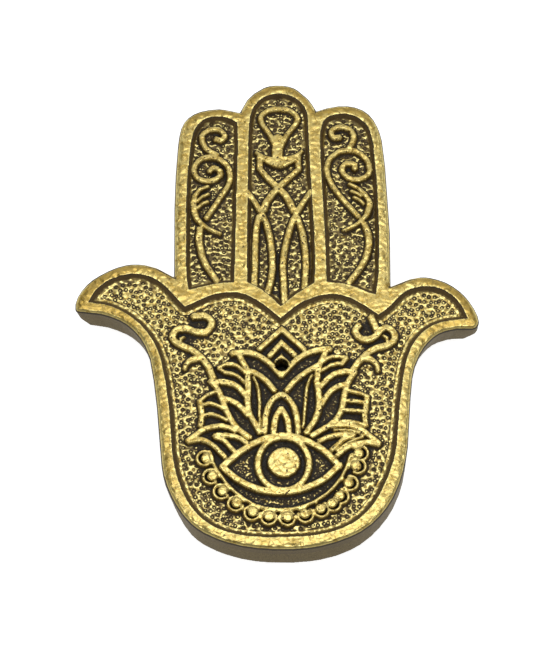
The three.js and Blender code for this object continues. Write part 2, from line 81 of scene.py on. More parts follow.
# Margin of the chart round the outline, reaches of the distances on it, and a reach round the middle of the
# stick hole within which there is no other part of the casting, in mm
MARGIN = 2.0
NEAR, MIDDLE, FAR = 1.0, 2.0, 3.0
HOLE_REACH = 2.5

# Widths in mm: what the softening takes off a band, the gap beside one that stays open, half the change
# from palm to fingers, how early a wall starts to fall, and the brush that softens the whole
BAND_LOSS, OPEN_GAP = 0.12, 0.9
FINGERS_BLEND = 3
EARLY = 0.1
SOFTENING = 0.06

# The walls are steeper on the fingers, where they reach in by this share
FINGER_WALL = 0.85

# A ridge and a line along the foot of each wall in the palm: distance from the foot and half width, then the
# ridge's height and the line's depth, in mm
FOOT_RIDGE, FOOT_LINE = (0.22, 0.14), (0.6, 0.12)
RIDGE_HEIGHT, LINE_DEPTH = 0.06, 0.12

# Room that punch marks leave along a wall in the palm and on the fingers, half the window that one is drawn
# in, and the height of its lip, the lip's distance from the ring and its half width, in mm
PALM_ROOM, FINGER_ROOM = 0.75, 0.3
PUNCH_WINDOW = 0.9
LIP_HEIGHT, LIP_DISTANCE, LIP_HALF = 0.065, 0.28, 0.13

# Depth and softness of the hollow round a bead, and how far its cup reaches out and across a gap, in mm
HOLLOW_DEPTH, HOLLOW_SOFTNESS = 0.3, 0.15
CUP_JOIN, CUP_GAP = 0.2, 0.6

# Where gold starts and is full: by a band's height as a share, by a bead's height, below the rim and towards
# the foot of a wall, and where a punch mark is too deep for it, all but the first in mm
BAND_GOLD = (0.42, 0.74)
BEAD_GOLD = (0.35, 0.7)
RIM_GOLD = (-0.05, 0.1)
FOOT_GOLD = (0.3, 1.1)
RING_DEPTH = (0.04, 0.13)

# Waves of the ground that a brush reaches, in spreads of the grain
# On these crests the gold is also lighter, as a painted highlight
PALM_CREST, FINGER_CREST = (-0.8, 1.0), (0.2, 1.4)

# Widths in mm of the recesses that stay dark: in the palm, round the eye and on the fingers
PALM_RECESS, EYE_RECESS, FINGER_RECESS = 4.6, 8.0, 1.9

# Places between which the gold changes, in mm: out to the thumbs and to their rims, down the palm and to the
# wrist, at the top of the eye, and out to the right
# Out to the thumbs' rims the gold darkens as painted shade
THUMB_GROUND, THUMB_RIM_SHADE = (18, 30), (33, 41)
# Down to the wrist and out to the right it lightens as painted light
LOWER_PALM, WRIST_LIGHT = (5, 25), (42, 60)
EYE_TOP = (-39, -36)
RIGHT_LIGHT = (10, 40)

# The dark strip along the outline, the same on the fingertips' side, and how far that side is dull, in mm
# On the fingertips' side the strip is wider, and the gold beside it duller, as painted shade
EDGE_STRIP, TIP_SHADE_STRIP = (0.15, 0.45), (0.45, 0.8)
SHADED_STRIP = (0.8, 2.4)

# Where the outer wall leans: depths below the top between which a lean grows, then of each lean the place,
# the reach, the depths, and how far it goes there across, along and up, all in mm
WHOLE_WALL, UPPER_HALF, LOWER_HALF, LOWER_PART = (0.5, 8.4), (0.5, 4.5), (4.5, 8.4), (4.0, 8.4)
WALL_LEANS = [
    ((46, -1), 7, WHOLE_WALL, (-0.3, 0.6, 0.0)),
    ((50, -4), 4.5, UPPER_HALF, (0.8, 0.0, 0.0)),
    ((50, -4), 4.5, LOWER_HALF, (-0.9, 0.2, 0.3)),
    ((-50, -1), 4.5, LOWER_PART, (1.5, -0.2, 0.0)),
    ((-40, -3), 6, WHOLE_WALL, (0.0, -0.35, 0.0)),
    ((-33, -54), 9, WHOLE_WALL, (1.5, 0.9, 0.0)),
    ((0, -66), 16, WHOLE_WALL, (0.0, -0.55, 0.0)),
    ((17, -63), 8, WHOLE_WALL, (0.1, -0.45, 0.0)),
]

# Half profile of a foam pad from the middle of its underside to the middle of its top, in shares of radius
# and thickness: rounded where it is cut and widest where the plate presses on it
PAD_PROFILE = [(0.0, 0.0), (0.55, 0.0), (0.86, 0.0), (0.93, 0.03), (0.965, 0.12), (0.985, 0.3),
               (0.995, 0.55), (1.0, 0.8), (1.0, 1.0), (0.8, 1.0), (0.0, 1.0)]
PAD_TURNS = 96

# The lights: place, point that they are turned to on the face, width and depth, in metres
CEILING_LIGHT = ((0.02, 0.05, 0.45), (0.02, 0.03), (0.3, 0.22))
FAR_LIGHT = ((0.0, 0.33, 0.42), (0.0, 0.03), (0.44, 0.24))
FLOOR_HALF = 3.0


def linear(colour):
    """An sRGB hex value as linear red, green, blue and alpha."""
    channels = [int(colour[place:place + 2], 16) / 255 for place in (1, 3, 5)]
    return [c / 12.92 if c <= 0.04045 else ((c + 0.055) / 1.055) ** 2.4 for c in channels] + [1.0]


def length(name, description, millimetres):
    """A length that shows in the panel."""
    return bpy.props.FloatProperty(name=name, description=description, default=millimetres * MM,
                                   subtype="DISTANCE", unit="LENGTH", precision=5)


def colour(name, description, default):
    """A colour that shows in the panel, given as an sRGB hex value."""
    return bpy.props.FloatVectorProperty(name=name, description=description, default=linear(default),
                                         subtype="COLOR", size=4, min=0.0, max=1.0)


class CastingSizes(bpy.types.PropertyGroup):
    """Sizes of the casting's surface."""

    facet: length("Facet", "Edge of the small faces that the casting is made of", 0.17)
    chart: length("Chart step", "Step of the grid on which the relief is worked out", 0.1)
    edge: length("Rolled edge", "Width of the strip along the outline that keeps its rolled shape", 0.8)
    foot_round: length("Foot rounding", "Radius of the lower edge of the outer wall", 0.9)
    crown: length("Crown", "How much lower the rim is at the outline", 0.4)
    crown_run: length("Crown run", "How far the fall of the rim reaches in from the outline", 2.4)
    wall_run: length("Wall run", "How far the wall of a pocket reaches in over the ground", 1.5)
    flank_run: length("Flank run", "How far the side of a carved band reaches out over the ground", 0.42)
    palm_round: length("Palm rounding", "How far the edge of a top is rounded in the palm", 0.2)
    palm_drop: length("Palm drop", "How much lower a carved top in the palm is at its edge", 0.04)
    finger_round: length("Finger rounding", "How far the edge of a top is rounded on the fingers", 0.35)
    finger_drop: length("Finger drop", "How much lower a carved top on the fingers is at its edge", 0.06)
    fingers_from: length("Fingers from", "Where the fingers begin, along the hand", 6.0)
    bead_radius: length("Bead radius", "Radius of the beads under the eye", 1.42)
    bead_shift: length("Bead shift", "How far each bead sits from its cup's middle, towards the eye", 0.4)
    cup_radius: length("Cup radius", "Outer radius of the cup round each bead", 2.15)
    cup_wall: length("Cup wall", "Width of the top of the cup's wall", 0.55)
    punch_radius: length("Punch radius", "Radius of the ring that a punch leaves in the ground", 0.38)
    punch_groove: length("Punch groove", "Half width of that ring", 0.15)
    punch_depth: length("Punch depth", "Depth of that ring", 0.2)
    punch_spacing: length("Punch spacing", "Least distance between two punch marks", 1.16)
    palm_ripple: length("Palm ripple", "Height of the waves on the ground of the palm", 0.05)
    finger_ripple: length("Finger ripple", "Height of the waves on the ground of the fingers", 0.08)
    palm_leaf: length("Palm leaf", "Height of the waves on the gilded flats of the palm", 0.03)
    finger_leaf: length("Finger leaf", "Height of the waves on the gilded flats of the fingers", 0.046)
    plain_share: bpy.props.FloatProperty(
        name="Plain share", description="Share of the faces that is kept on the outer wall and underneath",
        default=0.15, min=0.0, max=1.0, subtype="FACTOR")


class Finishes(bpy.types.PropertyGroup):
    """Colours of the finish."""

    gold: colour("Gold", "Gilding on the raised surfaces", "#f2de88")
    dull_gold: colour("Dull gold", "Gilding where it is thin", "#ae8f2c")
    brown: colour("Brown patina", "Stain on the slopes", "#594419")
    black: colour("Black patina", "Stain in the narrow recesses", "#1c1812")
    bronze: colour("Side bronze", "Paint on the outer wall and underneath", "#625536")
    foam: colour("Foam", "Pads under the plate", "#19191b")


class StudioSettings(bpy.types.PropertyGroup):
    """Camera and light."""

    distance: bpy.props.FloatProperty(
        name="Camera distance", description="From the camera to the carved face", default=1.0,
        subtype="DISTANCE", unit="LENGTH")
    tilt: bpy.props.FloatProperty(
        name="Tilt", description="Camera's tilt from straight above", default=math.radians(25),
        subtype="ANGLE", unit="ROTATION")
    roll: bpy.props.FloatProperty(
        name="Roll", description="Camera's turn about its own view", default=math.radians(0.7),
        subtype="ANGLE", unit="ROTATION")
    aim_x: length("Aim across", "Point on the face in the middle of the picture, across", -1.49)
    aim_y: length("Aim along", "Point on the face in the middle of the picture, along", -4.19)
    focal: bpy.props.FloatProperty(
        name="Focal length", description="Focal length in picture heights",
        default=PHOTO_FOCAL / PHOTO_HEIGHT)
    ceiling: bpy.props.FloatProperty(
        name="Ceiling light", description="Strength of the large light above", default=0.56, unit="POWER")
    far: bpy.props.FloatProperty(
        name="Far light", description="Strength of the light beyond the fingers", default=0.27, unit="POWER")


def add(tree, kind, inputs=None, **settings):
    """Adds a node with its settings, and gives each input a value or a link from an output."""
    node = tree.nodes.new("ShaderNode" + kind)
    for name, value in settings.items():
        setattr(node, name, value)
    for name, value in (inputs or {}).items():
        if isinstance(value, bpy.types.NodeSocket):
            tree.links.new(value, node.inputs[name])
        else:
            node.inputs[name].default_value = value
    return node


def blank_material(name):
    """A material with an empty tree, and the tree."""
    material = bpy.data.materials.new(name)
    material.use_nodes = True
    material.node_tree.nodes.clear()
    return material, material.node_tree


class Chart:
    """A grid of points over the hand, seen from above, in mm. Rows run along Y, columns along X."""

    def __init__(self, low, high, step):
        self.low = np.asarray(low, float)
        self.step = step
        columns, rows = np.ceil((np.asarray(high) - self.low) / step).astype(int) + 1
        self.shape = (rows, columns)

    def places(self):
        """X and Y of every point."""
        rows, columns = self.shape
        return np.meshgrid(self.low[0] + self.step * np.arange(columns),
                           self.low[1] + self.step * np.arange(rows))

    def under(self, triangles):
        """Which points lie under these triangles, by the edges passed on the way from the left."""
        corners = (triangles - self.low) / self.step
        start = corners.reshape(-1, 2)
        end = np.roll(corners, -1, axis=1).reshape(-1, 2)
        rising = end[:, 1] > start[:, 1]
        lower = np.where(rising[:, None], start, end)
        upper = np.where(rising[:, None], end, start)
        first = np.ceil(lower[:, 1]).astype(int)
        count = np.ceil(upper[:, 1]).astype(int) - first
        edge = np.repeat(np.arange(len(start)), count)
        row = np.arange(count.sum()) - np.repeat(np.cumsum(count) - count, count) + first[edge]
        share = (row - lower[edge, 1]) / (upper[edge, 1] - lower[edge, 1])
        column = np.ceil(lower[edge, 0] + share * (upper[edge, 0] - lower[edge, 0])).astype(int)
        passed = np.zeros(self.shape)
        np.add.at(passed, (row, column), np.where(rising[edge], 1, -1))
        return np.abs(np.cumsum(passed, axis=1)) > 0.5

    def distance(self, mask, reach):
        """Distance of every point to the nearest one in the mask, up to a reach."""
        steps = int(reach / self.step) + 1
        beyond = steps * 2
        columns = np.arange(self.shape[1])
        left = np.maximum.accumulate(np.where(mask, columns, -beyond), axis=1)
        right = np.where(mask, columns, self.shape[1] + beyond)[:, ::-1]
        right = np.minimum.accumulate(right, axis=1)[:, ::-1]
        across = np.minimum(np.minimum(columns - left, right - columns), beyond).astype(np.float32) ** 2
        nearest = across.copy()
        for shift in range(1, steps + 1):
            nearest[shift:] = np.minimum(nearest[shift:], across[:-shift] + shift ** 2)
            nearest[:-shift] = np.minimum(nearest[:-shift], across[shift:] + shift ** 2)
        return np.minimum(np.sqrt(nearest) * self.step, reach)

    def frequencies(self):
        """Waves per millimetre along X and Y of the chart's spectrum."""
        rows, columns = self.shape
        return np.meshgrid(np.fft.rfftfreq(columns, self.step), np.fft.fftfreq(rows, self.step))

    def blurred(self, field, radius):
        """The field spread by a soft round brush of that radius."""
        across, along = self.frequencies()
        brush = np.exp(-2 * (math.pi * radius) ** 2 * (across ** 2 + along ** 2))
        return np.fft.irfft2(np.fft.rfft2(field) * brush, self.shape)

    def gaps(self, edges, width):
        """Near 1 between these edges where they are closer together than this, and 0 elsewhere."""
        near = self.distance(edges, width) < width / 2
        return self.blurred(self.distance(~near, width) > width / 2 - 0.05, 0.12)

    def grain(self, seed, wide, tall):
        """Even random waves of about these lengths across and along, with a spread of one."""
        across, along = self.frequencies()
        ring = np.hypot(across * wide, along * tall)
        white = np.random.default_rng(seed).standard_normal(self.shape)
        waves = np.fft.irfft2(np.fft.rfft2(white) * (ring * np.exp(-ring)) ** 4, self.shape)
        return waves / waves.std()

    def read(self, field, points):
        """The field at any points, by their four neighbours."""
        place = (points - self.low) / self.step
        column = np.clip(place[:, 0].astype(int), 0, self.shape[1] - 2)
        row = np.clip(place[:, 1].astype(int), 0, self.shape[0] - 2)
        right = place[:, 0] - column
        up = place[:, 1] - row
        lower = field[row, column] * (1 - right) + field[row, column + 1] * right
        upper = field[row + 1, column] * (1 - right) + field[row + 1, column + 1] * right
        return lower * (1 - up) + upper * up


def ramp(value, start, end):
    """Rises smoothly from 0 at start to 1 at end."""
    share = np.clip((value - start) / (end - start), 0, 1)
    return share * share * (3 - 2 * share)


def mixed(low, high, share):
    """Goes from low to high as the share rises from 0 to 1."""
    return low + (high - low) * share


def ramp_between(value, first, second, share):
    """A ramp whose start and end go from the first pair to the second one as the share rises."""
    return ramp(value, mixed(first[0], second[0], share), mixed(first[1], second[1], share))


def soft_line(value, centre, half):
    """1 where the value is at the centre, falling softly over that half width."""
    return np.exp(-((value - centre) / half) ** 2)


def points_of(mesh):
    """A mesh's points, in its own units."""
    found = np.empty(len(mesh.vertices) * 3, np.float32)
    mesh.vertices.foreach_get("co", found)
    return found.reshape(-1, 3).astype(float)


def normals_of(mesh):
    """A mesh's point normals."""
    found = np.empty(len(mesh.vertices) * 3, np.float32)
    mesh.vertex_normals.foreach_get("vector", found)
    return found.reshape(-1, 3).astype(float)


def triangles_of(mesh):
    """Corners of a mesh's triangles, in its own units."""
    mesh.calc_loop_triangles()
    found = np.empty(len(mesh.loop_triangles) * 3, np.int32)
    mesh.loop_triangles.foreach_get("vertices", found)
    return points_of(mesh)[found.reshape(-1, 3)]


class Relief:
    """The carved face as fields on a chart: its height, and where gilding and stain lie on it."""

    def __init__(self, mesh, sizes):
        corners = triangles_of(mesh) / MM
        normals = np.cross(corners[:, 1] - corners[:, 0], corners[:, 2] - corners[:, 0])
        level = corners[:, :, 2].mean(axis=1)
        low, high = corners.min(axis=(0, 1)), corners.max(axis=(0, 1))
        self.bottom, self.top = low[2], high[2]
        self.chart = Chart(low[:2] - MARGIN, high[:2] + MARGIN, sizes.chart / MM)
        fingers_from = sizes.fingers_from / MM
        along = self.chart.places()[1]
        self.on_finger = ramp(along, fingers_from - FINGERS_BLEND, fingers_from + FINGERS_BLEND)
        self.find_tops(corners, normals, level)
        self.find_edges(corners, normals, level, sizes)
        self.shape(corners, sizes)
        self.lay_gilding()

    def either(self, palm, finger):
        """One value in the palm and another one on the fingers."""
        return mixed(palm, finger, self.on_finger)

    def find_tops(self, corners, normals, level):
        """The heights of the flat faces, the middle of the stick hole, and where rim and carved bands lie."""
        chart = self.chart
        flat = normals[:, 2] > FLAT * np.linalg.norm(normals, axis=1)
        # Flat faces lie at three heights: the rim, the carved bands just below it, and the ground
        heights = np.unique(np.round(level[flat & (level > self.top - RELIEF_LIMIT)], 2))
        self.ground, self.carved = heights[0], heights[-2]
        # Only the floor of the stick hole lies lower and still faces up
        self.hole = corners[flat & (level < self.ground - HOLE_LIMIT)].mean(axis=(0, 1))[:2]
        self.rim = chart.under(corners[flat & (level > (self.top + self.carved) / 2)][:, :, :2])
        bands = chart.under(corners[flat & (abs(level - self.carved) < SAME_HEIGHT)][:, :, :2])
        # The bands are drawn wider by what the softening takes off again, but not into a narrow gap
        wider = (chart.distance(bands, NEAR) < BAND_LOSS) & (chart.gaps(bands, OPEN_GAP) < 0.5)
        self.bands = (bands | wider) & ~self.rim

    def find_edges(self, corners, normals, level, sizes):
        """Where the outline, the strips of the rim along it and the foot of the outer wall lie."""
        chart = self.chart
        inside = chart.distance(~chart.under(corners[normals[:, 2] > 0][:, :, :2]), FAR)
        self.inner = inside > sizes.edge / MM
        self.crown = sizes.crown / MM * np.clip(1 - inside / (sizes.crown_run / MM), 0, 1) ** 2
        # The strip of the rim along the outline is dark, apart from the side that faces the wrist
        facing = np.gradient(chart.blurred(inside, 0.5), chart.step)[0]
        wrist_side, tip_side = ramp(facing, 0.2, 0.7), ramp(-facing, 0.2, 0.7)
        # On the fingertips' side the strip is wider, and the rim's gold near the outline duller: painted
        # shade
        self.edge_line_and_shade = (1 - ramp_between(inside, EDGE_STRIP, TIP_SHADE_STRIP, tip_side)) * (1 - wrist_side)
        self.shaded_far_side = tip_side * (1 - ramp(inside, *SHADED_STRIP))
        beneath = chart.under(corners[(normals[:, 2] < 0) & (level < self.bottom + 0.1)][:, :, :2])
        # Further in, the seats of the pads leave no edge
        self.foot = chart.distance(~(beneath | (inside > 2.9)), FAR)

    def shape(self, corners, sizes):
        """The height: walls, bands, beads and ground, then the grain on them."""
        chart = self.chart
        wall_run = self.either(sizes.wall_run, FINGER_WALL * sizes.wall_run) / MM
        self.domes = self.bead_domes(corners, sizes)
        self.from_rim = chart.distance(self.rim, FAR)
        wall = self.top - self.crown - (self.top - self.ground) * ramp(self.from_rim, -EARLY, wall_run)
        band = self.band_height(sizes)
        self.on_wall = (wall > np.maximum(band, self.domes)) & (self.from_rim < wall_run) & ~self.rim
        self.plain = chart.blurred(np.maximum.reduce([wall, band, self.domes]), SOFTENING)
        self.floor = 1 - ramp(self.plain - self.ground, 0.0, 0.1)
        in_palm = self.floor * (1 - self.on_finger)
        self.foot_ridge = soft_line(self.from_rim - wall_run, *FOOT_RIDGE) * in_palm
        foot_line = LINE_DEPTH * soft_line(self.from_rim - wall_run, *FOOT_LINE) * in_palm
        self.punch_marks(sizes, self.floor * (self.from_rim > wall_run + self.either(PALM_ROOM, FINGER_ROOM)))
        self.groove = np.maximum(self.groove, foot_line)
        self.ripple = self.either(chart.grain(*GRAINS["palm_ground"]), chart.grain(*GRAINS["finger_ground"]))
        swell = self.either(sizes.palm_ripple, sizes.finger_ripple) / MM
        carpet = self.ripple * swell - self.groove + LIP_HEIGHT * self.lip + RIDGE_HEIGHT * self.foot_ridge
        leaf = self.leaf_waves() * (self.either(sizes.palm_leaf, sizes.finger_leaf) / MM)
        self.height = self.plain + mixed(leaf, carpet, self.floor) - HOLLOW_DEPTH * self.moat

    def band_height(self, sizes):
        """The carved bands, with rounded edges and sloping sides."""
        reach = self.either(sizes.palm_round, sizes.finger_round) / MM
        drop = self.either(sizes.palm_drop, sizes.finger_drop) / MM
        self.within = self.chart.distance(~(self.bands | self.rim), MIDDLE)
        self.away = self.chart.distance(self.bands, FAR)
        fall = ramp(self.away, -EARLY, sizes.flank_run / MM)
        side = self.carved - drop - (self.carved - self.ground) * fall
        return np.where(self.bands, self.carved - drop * (1 - ramp(self.within, 0, reach)), side)

    def leaf_waves(self):
        """Waves of the gilded flats, broken by creases and by small pits, which are fewer on the rim."""
        chart = self.chart
        fold = chart.grain(*GRAINS["leaf_fold"])
        self.creases = soft_line(fold, 0, 0.1) * ramp(chart.grain(*GRAINS["leaf_crease"]), 0.2, 0.9)
        self.pits = ramp(chart.grain(*GRAINS["pits"]), 1.6, 2.1) * np.where(self.rim, 0.3, 1)
        return 1.3 * (abs(fold) - abs(chart.grain(*GRAINS["leaf_dent"]))) - self.creases - 2 * self.pits

    def bead_domes(self, corners, sizes):
        """Round beads where the casting has the tip of one, above every neighbour, in fuller cups."""
        chart = self.chart
        highest = corners[:, :, 2] > np.sort(corners[:, :, 2], axis=1)[:, 1:2] + 1e-4
        places, owner = np.unique(np.round(corners.reshape(-1, 3), 3), axis=0, return_inverse=True)
        always = np.bincount(owner.ravel(), highest.ravel()) == np.bincount(owner.ravel())
        tips = places[always & (places[:, 2] > self.ground)]
        middles = tips[:, :2]
        # The beads hang from an arc, whose centre is the one of the circle that fits them best
        equations = np.c_[2 * middles, np.ones(len(tips))]
        circle = np.linalg.lstsq(equations, (middles ** 2).sum(axis=1), rcond=None)[0]
        inward = circle[:2] - middles
        inward /= np.linalg.norm(inward, axis=1)[:, None]
        place = np.stack(chart.places(), axis=-1)
        steps = np.array([np.linalg.norm(place - middle, axis=-1) for middle in middles])
        nearest, from_cup = steps.argmin(axis=0), steps.min(axis=0)
        offset = place - (middles + sizes.bead_shift / MM * inward)[nearest]
        around = np.linalg.norm(offset, axis=-1)
        radius, cup = sizes.bead_radius / MM, sizes.cup_radius / MM
        hollow = cup - sizes.cup_wall / MM
        self.moat = ramp(around, radius, radius + HOLLOW_SOFTNESS)
        self.moat *= 1 - ramp(from_cup, hollow - HOLLOW_SOFTNESS, hollow)
        on_cup = (from_cup > hollow) & (from_cup < cup)
        self.bands |= on_cup & (chart.distance(self.bands, NEAR) < 0.3)
        # The cups run into each other and into the arc
        joint = (from_cup > hollow) & (from_cup < cup + CUP_JOIN)
        self.bands |= joint & (chart.gaps(self.bands, CUP_GAP) > 0.5)
        self.bands &= self.moat < 0.5
        # Flat on top and steep at the side
        dome = np.clip(1 - (around / radius) ** 8, 0, 1) ** 0.5
        return self.ground + (tips[:, 2].max() - self.ground) * dome

    def punch_marks(self, sizes, room):
        """Rings of the punch, scattered over the ground wherever there is room."""
        chart = self.chart
        draw = np.random.default_rng(PUNCH_SEED)
        high = chart.low + chart.step * np.array(chart.shape[::-1])
        tries = draw.uniform(chart.low, high, (PUNCH_TRIES, 2))
        tries = tries[chart.read(room * self.inner, tries) > 0.9]
        spacing, groove = sizes.punch_spacing / MM, sizes.punch_groove / MM
        half = int(PUNCH_WINDOW / chart.step)
        near = np.arange(-half, half + 1) * chart.step
        self.groove = np.zeros(chart.shape)
        self.lip = np.zeros(chart.shape)
        # The first entry only keeps the list from being empty, and is far off the hand
        taken = tries[:1] + 1000
        for place in tries:
            if ((taken - place) ** 2).sum(axis=1).min() < (spacing * draw.uniform(0.8, 1.2)) ** 2:
                continue
            taken = np.vstack([taken, place])
            column, row = np.round((place - chart.low) / chart.step).astype(int)
            offset = chart.low + chart.step * np.array([column, row]) - place
            gap = np.hypot(near[None, :] + offset[0], near[:, None] + offset[1])
            window = (slice(row - half, row + half + 1), slice(column - half, column + half + 1))
            radius = sizes.punch_radius / MM * draw.uniform(0.88, 1.12)
            depth = sizes.punch_depth / MM * draw.uniform(0.7, 1.15)
            # The middle of the ring is pressed in a little as well
            ring = np.maximum(depth * soft_line(gap, radius, groove), 0.3 * depth * (gap < radius))
            self.groove[window] = np.maximum(self.groove[window], ring)
            # The lip is highest towards the wrist and the fingertips
            steep = ((near[:, None] + offset[1]) / np.maximum(gap, 0.05)) ** 2
            lip = soft_line(gap, radius + LIP_DISTANCE, LIP_HALF) * mixed(0.25, 1, steep)
            self.lip[window] = np.maximum(self.lip[window], lip)

    def lay_gilding(self):
        """Gold stays where a dry brush reaches, stain on slopes, in the punch marks and in the recesses."""
        chart = self.chart
        rise = (self.plain - self.ground) / (self.carved - self.ground)
        standing = np.maximum(ramp(rise, *BAND_GOLD), ramp(self.domes - self.ground, *BEAD_GOLD))
        standing *= 1 - self.moat
        crest = ramp_between(self.ripple + 1.1 * self.lip * self.on_finger, PALM_CREST, FINGER_CREST,
                             self.on_finger)
        ring = ramp(self.groove, *RING_DEPTH)
        # A dark line runs along the foot of every band
        outline = soft_line(self.away, 0.46, 0.16) * (1 - standing)
        wide = ramp(self.away, 0.4, 1.6)
        round_eye = 1 - ramp(chart.places()[1], *EYE_TOP)
        narrow = mixed(chart.gaps(self.bands, PALM_RECESS), chart.gaps(self.bands, EYE_RECESS), round_eye)
        on_finger = ramp(self.on_finger, 0.4, 0.6)
        narrow = mixed(narrow, chart.gaps(self.bands | self.rim, FINGER_RECESS), on_finger) * (1 - standing)
        # The stain on the walls ran together in places and was wiped thin in others
        wiped = ramp(chart.grain(*GRAINS["wall_stain"]), -1.5, 1.5) - 0.5
        self.gild(standing, crest, wiped, (1 - ring) * (1 - 0.8 * outline), narrow, wide, round_eye)
        self.shut = np.maximum.reduce([narrow * self.floor * (1 - 0.45 * wide), 0.6 * ring * self.floor,
                                       0.9 * outline, self.moat])
        # The wall is darkest under the rim
        dark = 0.8 * (1 - ramp(self.from_rim, 0.05, 0.4)) + 0.35 * np.clip(-wiped, 0, 1) * self.on_finger
        self.shut = np.where(self.on_wall, dark, self.shut)
        self.rub(crest)

    def gild(self, standing, crest, wiped, clear, narrow, wide, round_eye):
        """How much gold lies on the raised parts and on the ground, as shares of a full coat."""
        across, along = self.chart.places()
        worn_wall = (0.43 + 0.2 * wiped * self.on_finger) * ramp(self.from_rim, *FOOT_GOLD)
        wall = np.maximum(1 - ramp(self.from_rim, *RIM_GOLD), worn_wall)
        raised = np.where(self.on_wall, wall, standing) * (1 - 0.7 * self.creases) * (1 - 0.9 * self.pits)
        base = 0.53 + 0.08 * ramp(abs(across), *THUMB_GROUND) - 0.09 * ramp(-along, *LOWER_PALM)
        ground = np.maximum(mixed(self.either(base, 0.42), 1, crest), 1.2 * self.foot_ridge) * clear
        # Only specks of gold reach the recesses, fewest beside a band
        specks = mixed(0.35, 1, ramp(self.chart.grain(*GRAINS["recess_gold"]), -0.6, 1.2))
        ground = mixed(ground, specks * clear * mixed(0.35, 0.64 + 0.12 * round_eye, wide), narrow)
        self.gilt = mixed(raised, ground, self.floor)

    def rub(self, crest):
        """How bright the gold is, with painted light and shade: most on the carving, at the wrist and along
        every edge.
        """
        across, along = self.chart.places()
        # The rim's gold is lighter towards the wrist and on the right: painted light
        flats = self.either(0.36, 0.43) + 0.1 * ramp(-along, *WRIST_LIGHT) + 0.14 * ramp(across, *RIGHT_LIGHT)
        # Lighter along its edges, as wear and as a painted highlight, and darker on the thumbs' rims: painted
        # shade
        flats += 0.4 * soft_line(self.within, 0, 0.3) - 0.27 * ramp(abs(across), *THUMB_RIM_SHADE)
        # Duller on the fingertips' far side: painted shade
        flats -= 0.45 * self.shaded_far_side
        self.rubbed_and_lit = np.where(self.rim, flats, self.either(0.57, 0.5))
        # The crests of the ground are lighter: a painted highlight
        self.rubbed_and_lit += (0.5 * crest - 0.22 * (1 - self.on_finger)) * self.floor


def new_object(name, mesh):
    """An object in the scene for a mesh."""
    made = bpy.data.objects.new(name, mesh)
    bpy.context.scene.collection.objects.link(made)
    return made


def modified(made, kind, **settings):
    """Puts a modifier on an object and makes its result the object's mesh."""
    step = made.modifiers.new(kind.title(), kind)
    for name, value in settings.items():
        setattr(step, name, value)
    result = bpy.data.meshes.new_from_object(made.evaluated_get(bpy.context.evaluated_depsgraph_get()))
    made.modifiers.clear()
    made.data = result


def soften(mesh, points, share):
    """Moves each point towards the middle of its neighbours by a share of the way."""
    edges = np.empty(len(mesh.edges) * 2, np.int32)
    mesh.edges.foreach_get("vertices", edges)
    start, end = edges.reshape(-1, 2).T
    count = np.bincount(edges, minlength=len(points))[:, None]
    total = np.stack([np.bincount(start, points[end, axis], len(points))
                      + np.bincount(end, points[start, axis], len(points)) for axis in range(3)], axis=1)
    return points + share * (total / count - points)


def give(mesh, name, values):
    """Stores one number for each point of a mesh under a name."""
    layer = mesh.attributes.new(name, "FLOAT", "POINT")
    layer.data.foreach_set("value", np.asarray(values, np.float32))


def carve(sizes):
    """The casting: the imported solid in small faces, with the relief's height on its face."""
    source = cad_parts[PLATE].data
    relief = Relief(source, sizes)
    mesh = source.copy()
    mesh.materials.clear()
    mesh.transform(Matrix.Scale(1 / MM, 4))
    made = new_object("gilded_hand_plate", mesh)
    facet = sizes.facet / MM * 1
    modified(made, "REMESH", mode="VOXEL", voxel_size=facet, use_smooth_shade=True)
    points = points_of(made.data)
    on_face = face_points(relief, points)
    # The rolled edge comes down with the crown of the rim
    near_top = ramp(points[:, 2], relief.top - 1.2, relief.top - 0.5)
    lowered = relief.chart.read(relief.crown, points[:, :2]) * near_top
    points[:, 2] -= np.where(on_face, 0, lowered)
    points[on_face, 2] = relief.chart.read(relief.height, points[on_face, :2])
    points = soften(made.data, points, 0.3)
    round_foot(points, relief, sizes.foot_round / MM)
    lean_walls(points, relief.top)
    made.data.vertices.foreach_set("co", points.astype(np.float32).ravel())
    made.data.update()
    # The wall and the underside are plain, so they need fewer faces
    plain = np.flatnonzero(~on_face & (points[:, 2] < relief.top - 1.5))
    made.vertex_groups.new(name="plain").add(plain.tolist(), 1.0, "REPLACE")
    share = len(plain) / len(points)
    modified(made, "DECIMATE", vertex_group="plain", ratio=1 - share * (1 - sizes.plain_share))
    made.vertex_groups.clear()
    age(made.data, relief)
    made.data.transform(Matrix.Scale(MM, 4))
    lay_flat(made.data)
    made.data.shade_smooth()
    return made


def round_foot(points, relief, radius):
    """Rounds the lower edge of the outer wall by drawing its corner in to an arc."""
    chart = relief.chart
    slopes = np.gradient(chart.blurred(relief.foot, 0.3), chart.step)
    inward = np.stack([chart.read(slope, points[:, :2]) for slope in reversed(slopes)], axis=1)
    inward /= np.maximum(np.hypot(inward[:, 0], inward[:, 1]), 0.01)[:, None]
    out = np.clip(radius - chart.read(relief.foot, points[:, :2]), 0, radius)
    down = np.clip(radius - (points[:, 2] - relief.bottom), 0, radius)
    reach = np.maximum(np.hypot(out, down), 0.01)
    pull = np.where((out > 0) & (down > 0), np.clip(1 - radius / reach, 0, 1), 0)
    points[:, :2] += inward * (out * pull)[:, None]
    points[:, 2] += down * pull


def lean_walls(points, top):
    """Leans the outer wall in or out towards the underside, as the hand finishing of the mould left it."""
    depth = top - points[:, 2]
    moved = np.zeros_like(points)
    for place, reach, grows, lean in WALL_LEANS:
        near = np.exp(-((points[:, :2] - place) ** 2).sum(axis=1) / reach ** 2) * ramp(depth, *grows)
        moved += near[:, None] * lean
    points += moved


def face_points(relief, points):
    """Which points belong to the carved face, and not to the rolled edge, the stick hole or the underside."""
    inside = relief.chart.read(relief.inner.astype(float), points[:, :2]) > 0.5
    return inside & (points[:, 2] > relief.ground - 0.3)


